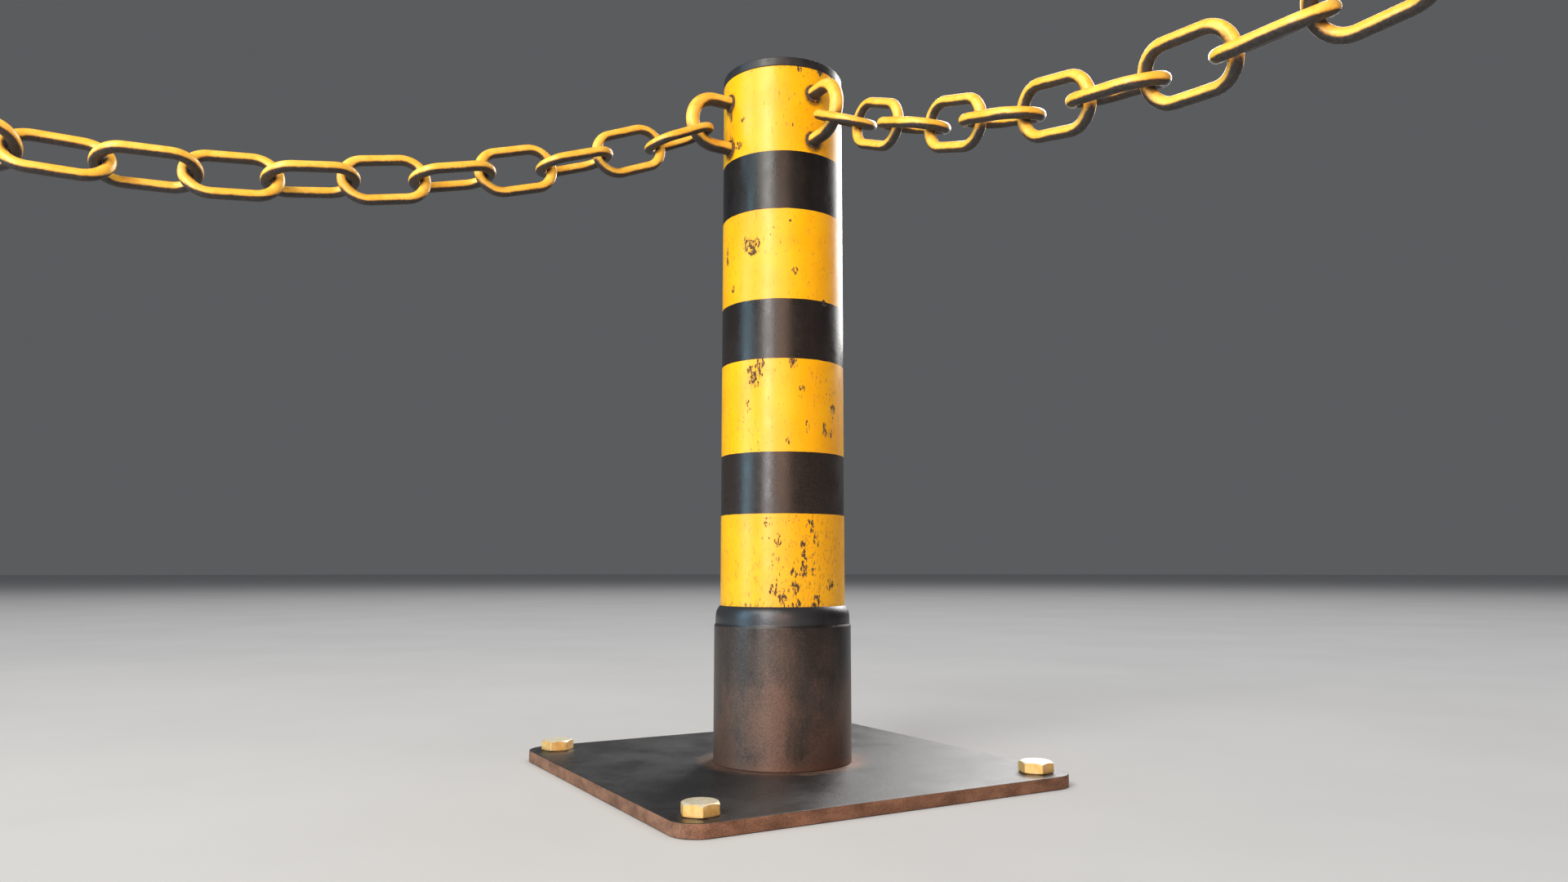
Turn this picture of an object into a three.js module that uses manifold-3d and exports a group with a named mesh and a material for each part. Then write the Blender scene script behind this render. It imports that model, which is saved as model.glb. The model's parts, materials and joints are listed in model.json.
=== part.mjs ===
// Striped steel chain post: a capped tube in a socket on a bolted base plate,
// with two welded eyes and a steel chain leading away from each of them.
// Millimetres, +Z up, origin on the post axis at the underside of the base plate.
// One chain leaves along -X and the other along -Y.
import * as THREE from 'three';
import Module from 'manifold-3d';
import { mergeVertices } from 'three/addons/utils/BufferGeometryUtils.js';

const wasm = await Module();
wasm.setup();

// ---------- driving dimensions ----------
const GAP = 0.3;                  // clearance between touching pieces
const HEIGHT = 800;               // floor to the top of the cap
const POST_R = 70;                // outside radius of the tube
const POST_WALL = 5;
const CAP_RIM = 10.3;             // visible height of the cap's rim
const CAP_SKIRT = 17;             // plug skirt inside the tube
const CAP_WALL = 5;               // wall of that skirt
const CAP_CHAMFER = 0.9;
const SLEEVE_R = 76.7;            // outside radius of the socket sleeve
const SLEEVE_TOP = 182.7;
const SHOULDER = 21.7;            // height of the sleeve's rounded shoulder
const STEP_IN = 1.3;              // how far the shoulder stands back from the sleeve's body
const STEP_RISE = 2.4;            // height of the bevel between them
const BULGE = 3.6;                // power of the shoulder's curve: the higher, the squarer
const LIP = 0.4;                  // flat left at the top of the shoulder
const PLATE_SIDE = 450;
const PLATE_T = 13;
const PLATE_CORNER = 28;
const BOLT_OFFSET = 193.5;        // bolt axis from the post axis, along X and Y
const BOLT_D = 20;
const BOLT_HOLE = 22;
const BOLT_FLATS = 32;
const BOLT_HEAD = 11.4;
const CROWN_DROP = 2;             // how much lower the head's corners are than its middle
const CROWN_FLAT = 14.6;          // radius of the flat top inside the crown's chamfer
const BOLTS = [                   // corner of the plate, and the turn that each head was left at
  { x: -1, y: -1, degrees: 41.5 },
  { x: 1, y: -1, degrees: 39 },
  { x: 1, y: 1, degrees: 5 },
  { x: -1, y: 1, degrees: 17 },
];
const EYE_WIRE = 15;              // bar diameter of the welded eyes
const EYE_MID_Z = 732.2;
const EYE_BEND = 27.5;            // centreline radius of the bend, half the leg spacing
const EYE_REACH = 118.3;          // bar centre at the bend's outermost point, from the post axis
const EYE_ROOT = 58;              // where the legs end inside the tube
const WELD_H = 2.4;               // height of the weld beads
const WELD_W = 3;                 // width of the weld beads
const WIRE = 10.4;                // chain bar diameter
const PITCH = 65.8;               // length of chain taken by one link
const LINK_BEND = 21;             // centreline radius of a link's round ends
const HANG_ANGLE = 52 * Math.PI / 180;   // how far round the eye's bend the first link hangs
const LOW_X = 705;                // lowest point of the hanging chain, from the post axis
const CATENARY = 1220;            // catenary parameter of the hanging chain
const TWIST = 0.33 * Math.PI / 180;      // the chain's twist grows with the square of the link number
const HOOK_NEAR = 15;             // centreline radius of the hook's closed end
const HOOK_FAR = 16;              // centreline radius of the hook's open end
const HOOK_SPAN = 48;             // between the centres of the two ends
const HOOK_END = 2.45 * Math.PI;  // where the open end's curve stops
const CHAINS = [
  { side: 'left', turn: Math.PI, links: 11 },
  { side: 'right', turn: -Math.PI / 2, links: 10 },
];

// ---------- how finely round things are divided ----------
const POST_SIDES = 96;
const HOLE_SIDES = 24;
const CROWN_SIDES = 36;
const EYE_SIDES = 12;
const CHAIN_SIDES = 8;
const SHOULDER_STEPS = 8;
const CORNER_STEPS = 8;           // in each rounded corner of the plate
const EYE_STEP = Math.PI / 12;    // turn between breaks in a bend
const LINK_STEP = Math.PI / 6;
const HOOK_STEP = Math.PI / 8;
const TINY = 1e-9;
const OVERLAP = 1;                // how far cutters and joined pieces run past each other

// ---------- finishes ----------
const finish = (color, roughness, metalness) => ({ color, roughness, metalness });
const YELLOW_PAINT = finish(0xe8b810, 0.5, 0.0);
const CHAIN_PAINT = finish(0xd9a51e, 0.45, 0.1);
const CAP_PAINT = finish(0x25262a, 0.55, 0.1);
const SLEEVE_PAINT = finish(0x3d3532, 0.55, 0.4);
const PLATE_STEEL = finish(0x4b4744, 0.6, 0.5);
const ZINC = finish(0xd8c070, 0.4, 0.7);

// ---------- helpers ----------
const group = new THREE.Group();
group.name = 'chain_stanchion';

function add(name, geometry, look) {
  const mesh = new THREE.Mesh(geometry, new THREE.MeshStandardMaterial(look));
  mesh.name = name;
  group.add(mesh);
}

function toManifold(geometry) {
  const bare = geometry.clone();
  bare.deleteAttribute('normal');
  bare.deleteAttribute('uv');
  const merged = mergeVertices(bare, 1e-4);
  return new wasm.Manifold(new wasm.Mesh({
    numProp: 3,
    vertProperties: new Float32Array(merged.attributes.position.array),
    triVerts: new Uint32Array(merged.index.array),
  }));
}

function toGeometry(solid) {
  const mesh = solid.getMesh();
  const geometry = new THREE.BufferGeometry();
  const positions = new Float32Array(mesh.vertProperties);
  geometry.setAttribute('position', new THREE.BufferAttribute(positions, 3));
  geometry.setIndex(new THREE.BufferAttribute(new Uint32Array(mesh.triVerts), 1));
  geometry.computeVertexNormals();
  return geometry;
}

function drill(body, cutters) {
  let solid = toManifold(body);
  for (const cutter of cutters) {
    solid = solid.subtract(toManifold(cutter));
  }
  return toGeometry(solid);
}

// A solid of revolution about Z from [radius, height] points, listed so that the outside faces out.
function turned(points, segments) {
  const profile = points.map(([r, z]) => new THREE.Vector2(r, z));
  return new THREE.LatheGeometry(profile, segments).rotateX(Math.PI / 2);
}

// A rod of diameter d about Z between two heights.
function rod(d, z0, z1, segments) {
  return turned([[0, z0], [d / 2, z0], [d / 2, z1], [0, z1]], segments);
}

// A path of straight runs and arcs in the XY plane. The breaks of the swept bar fall exactly
// where a run or an arc starts and ends, with the arcs divided evenly in between.
class BarPath extends THREE.Curve {
  constructor(runs, stepAngle) {
    super();
    this.marks = [];
    for (const run of runs) {
      if (run.line) {
        this.marks.push(run.line[0]);
        continue;
      }
      const { centre, radius, from, to } = run;
      const steps = Math.ceil(Math.abs(to - from) / stepAngle);
      for (let i = 0; i < steps; i += 1) {
        const a = from + (to - from) * i / steps;
        this.marks.push([centre[0] + radius * Math.cos(a), centre[1] + radius * Math.sin(a)]);
      }
    }
    const last = runs[runs.length - 1];
    if (last.line) {
      this.marks.push(last.line[1]);
    } else {
      const { centre, radius, to } = last;
      this.marks.push([centre[0] + radius * Math.cos(to), centre[1] + radius * Math.sin(to)]);
    }
    this.steps = this.marks.length - 1;
  }

  getPoint(t) {
    const at = Math.min(Math.max(t, 0), 1) * this.steps;
    const i = Math.min(Math.floor(at), this.steps - 1);
    const [ax, ay] = this.marks[i];
    const [bx, by] = this.marks[i + 1];
    return new THREE.Vector3(ax + (bx - ax) * (at - i), ay + (by - ay) * (at - i), 0);
  }

  getPointAt(u) {
    return this.getPoint(u);
  }

  getTangentAt(u) {
    const step = 0.5 / this.steps;
    const closed = this.closed === true;
    const before = closed ? this.getPoint((u - step + 1) % 1) : this.getPoint(u - step);
    const after = closed ? this.getPoint((u + step) % 1) : this.getPoint(u + step);
    const here = this.getPoint(u);
    const back = here.clone().sub(before);
    const ahead = after.clone().sub(here);
    if (back.lengthSq() > TINY) {
      back.normalize();
    }
    if (ahead.lengthSq() > TINY) {
      ahead.normalize();
    }
    return back.add(ahead).normalize();
  }
}

// An open bar swept along a path, with flat ends.
function openBar(path, d, sides) {
  const section = new THREE.Shape();
  for (let i = 0; i < sides; i += 1) {
    const a = 2 * Math.PI * (i + 0.5) / sides;
    const [x, y] = [d / 2 * Math.cos(a), d / 2 * Math.sin(a)];
    if (i === 0) {
      section.moveTo(x, y);
    } else {
      section.lineTo(x, y);
    }
  }
  section.closePath();
  return new THREE.ExtrudeGeometry(section, { steps: path.steps, extrudePath: path, bevelEnabled: false });
}

// ---------- post, cap, socket and plate ----------
const tubeTop = HEIGHT - CAP_RIM - GAP;
const tubeInner = POST_R - POST_WALL;
const legHeights = [EYE_MID_Z - EYE_BEND, EYE_MID_Z + EYE_BEND];

const legHoles = [];
for (const { turn } of CHAINS) {
  for (const z of legHeights) {
    const hole = rod(EYE_WIRE + 2 * GAP, EYE_ROOT, POST_R + OVERLAP, HOLE_SIDES);
    legHoles.push(hole.rotateY(Math.PI / 2).translate(0, 0, z).rotateZ(turn));
  }
}
const tube = turned([
  [tubeInner, PLATE_T + GAP],
  [POST_R, PLATE_T + GAP],
  [POST_R, tubeTop],
  [tubeInner, tubeTop],
  [tubeInner, PLATE_T + GAP],
], POST_SIDES);
add('post_tube', drill(tube, legHoles), YELLOW_PAINT);

const capBottom = HEIGHT - CAP_RIM;
const skirtOuter = tubeInner - GAP;
add('top_cap', turned([
  [0, capBottom],
  [skirtOuter - CAP_WALL, capBottom],
  [skirtOuter - CAP_WALL, capBottom - CAP_SKIRT],
  [skirtOuter, capBottom - CAP_SKIRT],
  [skirtOuter, capBottom],
  [POST_R, capBottom],
  [POST_R, HEIGHT - CAP_CHAMFER],
  [POST_R - CAP_CHAMFER, HEIGHT],
  [0, HEIGHT],
], POST_SIDES), CAP_PAINT);

const sleeveBore = POST_R + GAP;
const shoulderR = SLEEVE_R - STEP_IN;
const shoulderFoot = SLEEVE_TOP - SHOULDER + STEP_RISE;
const sleeveProfile = [
  [sleeveBore, PLATE_T + GAP],
  [SLEEVE_R, PLATE_T + GAP],
  [SLEEVE_R, SLEEVE_TOP - SHOULDER],
];
for (let i = 0; i <= SHOULDER_STEPS; i += 1) {
  const t = Math.sin(Math.PI / 2 * i / SHOULDER_STEPS);
  const lean = (shoulderR - sleeveBore - LIP) * t ** BULGE;
  sleeveProfile.push([shoulderR - lean, shoulderFoot + (SLEEVE_TOP - shoulderFoot) * t]);
}
sleeveProfile.push([sleeveBore, SLEEVE_TOP], [sleeveBore, PLATE_T + GAP]);
add('socket_sleeve', turned(sleeveProfile, POST_SIDES), SLEEVE_PAINT);

const half = PLATE_SIDE / 2;
const outline = new THREE.Shape();
for (let i = 0; i < 4; i += 1) {
  const start = i * Math.PI / 2;
  const x = (half - PLATE_CORNER) * Math.sign(Math.cos(start + Math.PI / 4));
  const y = (half - PLATE_CORNER) * Math.sign(Math.sin(start + Math.PI / 4));
  outline.absarc(x, y, PLATE_CORNER, start, start + Math.PI / 2, false);
}
outline.closePath();
const slabOptions = { depth: PLATE_T, bevelEnabled: false, curveSegments: CORNER_STEPS };
const slab = new THREE.ExtrudeGeometry(outline, slabOptions);
const boltHoles = BOLTS.map(({ x, y }) => {
  const hole = rod(BOLT_HOLE, -OVERLAP, PLATE_T + OVERLAP, HOLE_SIDES);
  return hole.translate(x * BOLT_OFFSET, y * BOLT_OFFSET, 0);
});
add('base_plate', drill(slab, boltHoles), PLATE_STEEL);

// ---------- anchor bolts, shown down to just above the underside of the plate ----------
const headZ = PLATE_T + GAP;
const headTop = headZ + BOLT_HEAD;
const headCorner = BOLT_FLATS / Math.sqrt(3);
BOLTS.forEach(({ x, y, degrees }, i) => {
  const hex = turned([[0, headZ], [headCorner, headZ], [headCorner, headTop], [0, headTop]], 6);
  const crown = turned([
    [0, headZ - OVERLAP],
    [headCorner + OVERLAP, headZ - OVERLAP],
    [headCorner + OVERLAP, headTop - CROWN_DROP],
    [CROWN_FLAT, headTop],
    [0, headTop],
  ], CROWN_SIDES);
  const head = toManifold(hex.rotateZ(THREE.MathUtils.degToRad(degrees))).intersect(toManifold(crown));
  const shank = toManifold(rod(BOLT_D, GAP, headZ + OVERLAP, HOLE_SIDES));
  const bolt = toGeometry(head.add(shank)).translate(x * BOLT_OFFSET, y * BOLT_OFFSET, 0);
  add(`anchor_bolt_${i + 1}`, bolt, ZINC);
});

// ---------- eyes and chains, each built leading away along +X and then turned into place ----------
const eyeCentre = EYE_REACH - EYE_BEND;
const eyePath = new BarPath([
  { line: [[EYE_ROOT, -EYE_BEND], [eyeCentre, -EYE_BEND]] },
  { centre: [eyeCentre, 0], radius: EYE_BEND, from: -Math.PI / 2, to: Math.PI / 2 },
  { line: [[eyeCentre, EYE_BEND], [EYE_ROOT, EYE_BEND]] },
], EYE_STEP);

const linkLength = PITCH + WIRE + GAP;       // centreline length of a link
const linkPath = new BarPath([
  { line: [[LINK_BEND, -LINK_BEND], [linkLength - LINK_BEND, -LINK_BEND]] },
  { centre: [linkLength - LINK_BEND, 0], radius: LINK_BEND, from: -Math.PI / 2, to: Math.PI / 2 },
  { line: [[linkLength - LINK_BEND, LINK_BEND], [LINK_BEND, LINK_BEND]] },
  { centre: [LINK_BEND, 0], radius: LINK_BEND, from: Math.PI / 2, to: 3 * Math.PI / 2 },
], LINK_STEP);
linkPath.closed = true;

// The hook is S-shaped: a closed end round the last link, a slanting shank and an open end.
const cross = Math.acos((HOOK_NEAR + HOOK_FAR) / HOOK_SPAN);
const nearCentre = [HOOK_NEAR, 0];
const farCentre = [HOOK_NEAR + HOOK_SPAN, 0];

function onCircle(centre, radius, a) {
  return [centre[0] + radius * Math.cos(a), centre[1] + radius * Math.sin(a)];
}

const hookPath = new BarPath([
  { centre: nearCentre, radius: HOOK_NEAR, from: cross + 1.5 * Math.PI, to: cross },
  { line: [onCircle(nearCentre, HOOK_NEAR, cross), onCircle(farCentre, HOOK_FAR, cross + Math.PI)] },
  { centre: farCentre, radius: HOOK_FAR, from: cross + Math.PI, to: HOOK_END },
], HOOK_STEP);

// Rotation that lays a piece's XY plane along the chain: x leads away, tipped up by the slope,
// and the plane is turned about x by the roll.
function lay(geometry, x, z, slope, roll, turn) {
  return geometry.rotateX(roll).rotateY(-slope).translate(x, 0, z).rotateZ(turn);
}

// Slope of the hanging chain for a piece of the given length that starts at x. The piece's middle
// depends on its slope, so a few rounds settle both.
const SLOPE_ROUNDS = 8;

function slopeFrom(x, length) {
  let slope = 0;
  for (let round = 0; round < SLOPE_ROUNDS; round += 1) {
    slope = Math.atan(Math.sinh((x + length / 2 * Math.cos(slope) - LOW_X) / CATENARY));
  }
  return slope;
}

for (const { side, turn, links } of CHAINS) {
  const eye = openBar(eyePath, EYE_WIRE, EYE_SIDES).rotateX(Math.PI / 2).translate(0, 0, EYE_MID_Z);
  add(`${side}_eye`, eye.rotateZ(turn), CHAIN_PAINT);
  legHeights.forEach((z, i) => {
    const legR = EYE_WIRE / 2 + GAP;
    const foot = POST_R + GAP;
    const bead = turned([
      [legR, foot],
      [legR + WELD_W, foot],
      [legR + 0.8 * WELD_W, foot + 0.55 * WELD_H],
      [legR + 0.35 * WELD_W, foot + WELD_H],
      [legR, foot + WELD_H],
      [legR, foot],
    ], HOLE_SIDES);
    const name = `${side}_eye_weld_${i === 0 ? 'lower' : 'upper'}`;
    add(name, bead.rotateY(Math.PI / 2).translate(0, 0, z).rotateZ(turn), CHAIN_PAINT);
  });

  const spacing = (EYE_WIRE + WIRE) / 2 + GAP;
  let x = eyeCentre + (EYE_BEND - spacing) * Math.cos(HANG_ANGLE);
  let z = EYE_MID_Z - (EYE_BEND - spacing) * Math.sin(HANG_ANGLE);
  for (let i = 1; i <= links + 1; i += 1) {
    const upright = i % 2 === 0;
    const roll = (upright ? Math.PI / 2 : 0) + TWIST * i * i;
    const slope = slopeFrom(x, linkLength);
    if (i > links) {
      const hook = lay(openBar(hookPath, WIRE, CHAIN_SIDES), x, z, slope, roll, turn);
      add(`${side}_end_hook`, hook, CHAIN_PAINT);
      break;
    }
    const link = new THREE.TubeGeometry(linkPath, linkPath.steps, WIRE / 2, CHAIN_SIDES, true);
    const name = `${side}_link_${String(i).padStart(2, '0')}`;
    add(name, lay(link, x, z, slope, roll, turn), CHAIN_PAINT);
    const next = slopeFrom(x + PITCH * Math.cos(slope), linkLength);
    const pull = (slope + next) / 2;
    x += linkLength * Math.cos(slope) - (WIRE + GAP) * Math.cos(pull);
    z += linkLength * Math.sin(slope) - (WIRE + GAP) * Math.sin(pull);
  }
}

export default group;
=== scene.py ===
"""Looks for the striped chain post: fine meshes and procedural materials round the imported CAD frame.

Metres, +Z up, origin on the post axis at the underside of the base plate. Every piece is built
in the row frame, so Object texture coordinates are row-frame places that stay with the piece.
"""
import json
import math

import bmesh
import bpy
import numpy as np
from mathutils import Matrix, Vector


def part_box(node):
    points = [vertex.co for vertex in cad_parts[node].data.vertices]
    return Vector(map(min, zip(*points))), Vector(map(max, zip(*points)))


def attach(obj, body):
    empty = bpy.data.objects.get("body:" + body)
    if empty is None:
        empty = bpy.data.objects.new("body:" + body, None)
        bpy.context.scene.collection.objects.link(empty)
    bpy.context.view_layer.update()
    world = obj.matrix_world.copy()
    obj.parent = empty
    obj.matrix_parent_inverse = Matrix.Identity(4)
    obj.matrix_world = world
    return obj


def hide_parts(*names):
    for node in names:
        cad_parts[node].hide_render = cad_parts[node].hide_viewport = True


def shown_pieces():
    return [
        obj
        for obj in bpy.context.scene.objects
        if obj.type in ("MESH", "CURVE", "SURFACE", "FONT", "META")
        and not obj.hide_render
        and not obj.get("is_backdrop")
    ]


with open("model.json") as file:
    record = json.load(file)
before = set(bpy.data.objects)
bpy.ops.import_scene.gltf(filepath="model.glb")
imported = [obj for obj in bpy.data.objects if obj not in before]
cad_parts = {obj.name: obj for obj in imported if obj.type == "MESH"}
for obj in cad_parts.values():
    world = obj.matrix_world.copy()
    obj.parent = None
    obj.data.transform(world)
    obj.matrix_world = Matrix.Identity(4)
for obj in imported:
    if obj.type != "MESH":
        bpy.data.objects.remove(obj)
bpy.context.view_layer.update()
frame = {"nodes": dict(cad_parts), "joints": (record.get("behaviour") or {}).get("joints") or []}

# ---------- driving sizes that the frame's boxes don't give ----------
MM = 0.001
GAP = 0.3 * MM
TUBE_WALL = 5 * MM
CAP_DOME = 0.3 * MM
CAP_EDGE = 0.9 * MM             # radius of the cap's rounded edge
SLEEVE_STEP = 1.3 * MM          # how far the shoulder stands back from the sleeve's body
STEP_RISE = 2.4 * MM            # height of the bevel under the shoulder
SHOULDER = 21.7 * MM
BULGE = 3.6                     # power of the shoulder's curve
PLATE_CORNER = 28 * MM
PLATE_EDGE = 1.1 * MM           # radius of the plate's rounded edges
BOLT_D = 20 * MM
BOLT_HOLE = BOLT_D + 2 * MM
BOLT_FLATS = 32 * MM
BOLT_CORNER = 1.6 * MM
CROWN_DROP = 2.6 * MM           # height of the curved bevel round a bolt head
CROWN_IN = 1.6 * MM             # how far that bevel reaches inside the flats
CROWN_OUT = 3 * MM              # and outside them, past the corners
EYE_WIRE = 15 * MM
EYE_BEND = 27.5 * MM
EYE_ROOT = 58 * MM              # where the legs end inside the tube
HANG_ANGLE = math.radians(52)   # how far round the eye's bend the first link hangs
WIRE = 10.4 * MM
LINK_BEND = 21 * MM
HOOK_NEAR = 15 * MM
HOOK_FAR = 16 * MM
HOOK_SPAN = 48 * MM             # between the centres of the hook's two bends
HOOK_TIP = 2 * MM               # radius of the rounding at the hook's tips
HOOK_NEAR_END = 1.5 * math.pi   # where the near bend starts, past the cross bar
HOOK_FAR_END = 2.45 * math.pi   # where the far bend ends
WELD_H = 2.4 * MM
WELD_W = 3 * MM
WELD_OFF = 0.05 * MM            # clearance between a bead and the tube
BAND_LOW = 282.4 * MM           # lower edge of the lowest black band
BAND_PITCH = 169.8 * MM
BAND_HEIGHT = 67 * MM
EYE_RUB = 16 * MM               # how far wear reaches from where another bar bears on the eye
LINK_RUB = 15 * MM
HOOK_RUB = 14 * MM
FLOOR_R = 60.0
FLOOR_TOP = -0.2 * MM           # a little under the plate
FLOOR_DEPTH = 20 * MM
ROUND = 160                     # divisions round the post
BAR_SIDES = 28                  # divisions round a chain bar
EYE_SIDES = 40
HOLE_SIDES = 48
HOLE_TURN = 0.37                # in divisions; keeps a cutter's corners off the tube's vertical edges
CROWN_SIDES = 96
WELD_SIDES = 120
FLOOR_SIDES = 96
ROOT = "stanchion"

plate_lo, plate_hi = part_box("base_plate")
tube_lo, tube_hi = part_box("post_tube")
sleeve_lo, sleeve_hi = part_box("socket_sleeve")
cap_lo, cap_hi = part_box("top_cap")
eye_lo, eye_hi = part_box("left_eye")
POST_R = tube_hi.x
EYE_MID = (eye_lo.z + eye_hi.z) / 2
FRONT = -120                    # direction of the camera round the post, in degrees from +X
SIDES = {"left": Vector((-1, 0, 0)), "right": Vector((0, -1, 0))}
BOLTS = [f"anchor_bolt_{i + 1}" for i in range(4)]
UP = Vector((0, 0, 1))


def bearing(degrees):
    """Unit vector from the post axis; 0 faces the camera and positive turns to its right."""
    a = math.radians(FRONT + degrees)
    return Vector((math.cos(a), math.sin(a), 0))


def node_centre(node):
    """The middle of a CAD node's box."""
    low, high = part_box(node)
    return (low + high) / 2


# ---------- camera and light ----------
def make_camera():
    data = bpy.data.cameras.new("camera")
    data.lens = 24.23
    data.sensor_width = 36
    camera = bpy.data.objects.new("camera", data)
    camera.location = (-0.60225, -1.04312, 0.22160)
    camera.rotation_mode = "QUATERNION"
    forward = Vector((0.49749, 0.85890, 0.12161))
    camera.rotation_quaternion = forward.to_track_quat("-Z", "Y")
    bpy.context.scene.collection.objects.link(camera)
    bpy.context.scene.camera = camera


def area_light(name, at, aim, size, power, color):
    data = bpy.data.lights.new(name, "AREA")
    data.shape = "RECTANGLE"
    data.size, data.size_y = size
    data.energy = power
    data.color = color
    light = bpy.data.objects.new(name, data)
    light.location = at
    light.rotation_mode = "QUATERNION"
    light.rotation_quaternion = (Vector(aim) - Vector(at)).to_track_quat("-Z", "Y")
    bpy.context.scene.collection.objects.link(light)
    return light


def make_lights(floor):
    """A key light for all, an overhead for the floor, four for the object and one for its foot."""
    middle = Vector((0, 0, 0.45))
    key = bearing(-33) * 2.3 + UP * 2.1
    area_light("key", key, middle, (1.3, 1.2), 37, (1.0, 0.97, 0.84))
    overhead = area_light("overhead", (0, 0, 8), (0, 0, 0), (16, 16), 820, (1.0, 0.99, 0.98))
    edge_strip = bearing(-27) * 2.2 + UP * 0.8
    soft_strip = bearing(-2) * 2.2 + UP * 0.8
    fill = bearing(-68) * 2.1 + UP * 0.9
    rim = bearing(147) * 2.1 + UP * 1.75
    own = [
        area_light("edge_strip", edge_strip, middle, (0.22, 1.5), 27, (1.0, 0.97, 0.97)),
        area_light("soft_strip", soft_strip, middle, (1.0, 1.5), 18, (1.0, 0.62, 0.44)),
        area_light("cool_fill", fill, middle, (0.7, 1.8), 23, (0.42, 0.78, 1.0)),
        area_light("rim", rim, middle + UP * 0.25, (2.0, 1.6), 92, (1.0, 0.98, 0.95)),
    ]
    glance = bearing(153) * 2.4 + UP * 0.9
    sheen = area_light("plate_sheen", glance, (0.1, 0.1, 0), (1.2, 0.9), 7, (1.0, 0.99, 1.0))
    foot = [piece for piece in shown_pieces() if piece.name.startswith(("base_plate", "socket"))]
    light_only([overhead], [floor])
    light_only(own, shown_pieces())
    light_only([sheen], foot)
    world = bpy.data.worlds.new("studio")
    world.use_nodes = True
    background = world.node_tree.nodes["Background"]
    background.inputs["Color"].default_value = (0.80, 0.82, 0.86, 1)
    background.inputs["Strength"].default_value = 0.13
    bpy.context.scene.world = world
    bpy.context.scene.view_settings.view_transform = "Standard"


def light_only(lights, targets):
    """Keeps lights off everything but their targets."""
    lit = bpy.data.collections.new(lights[0].name + "_lit")
    for target in targets:
        lit.objects.link(target)
    for light in lights:
        light.light_linking.receiver_collection = lit


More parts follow.
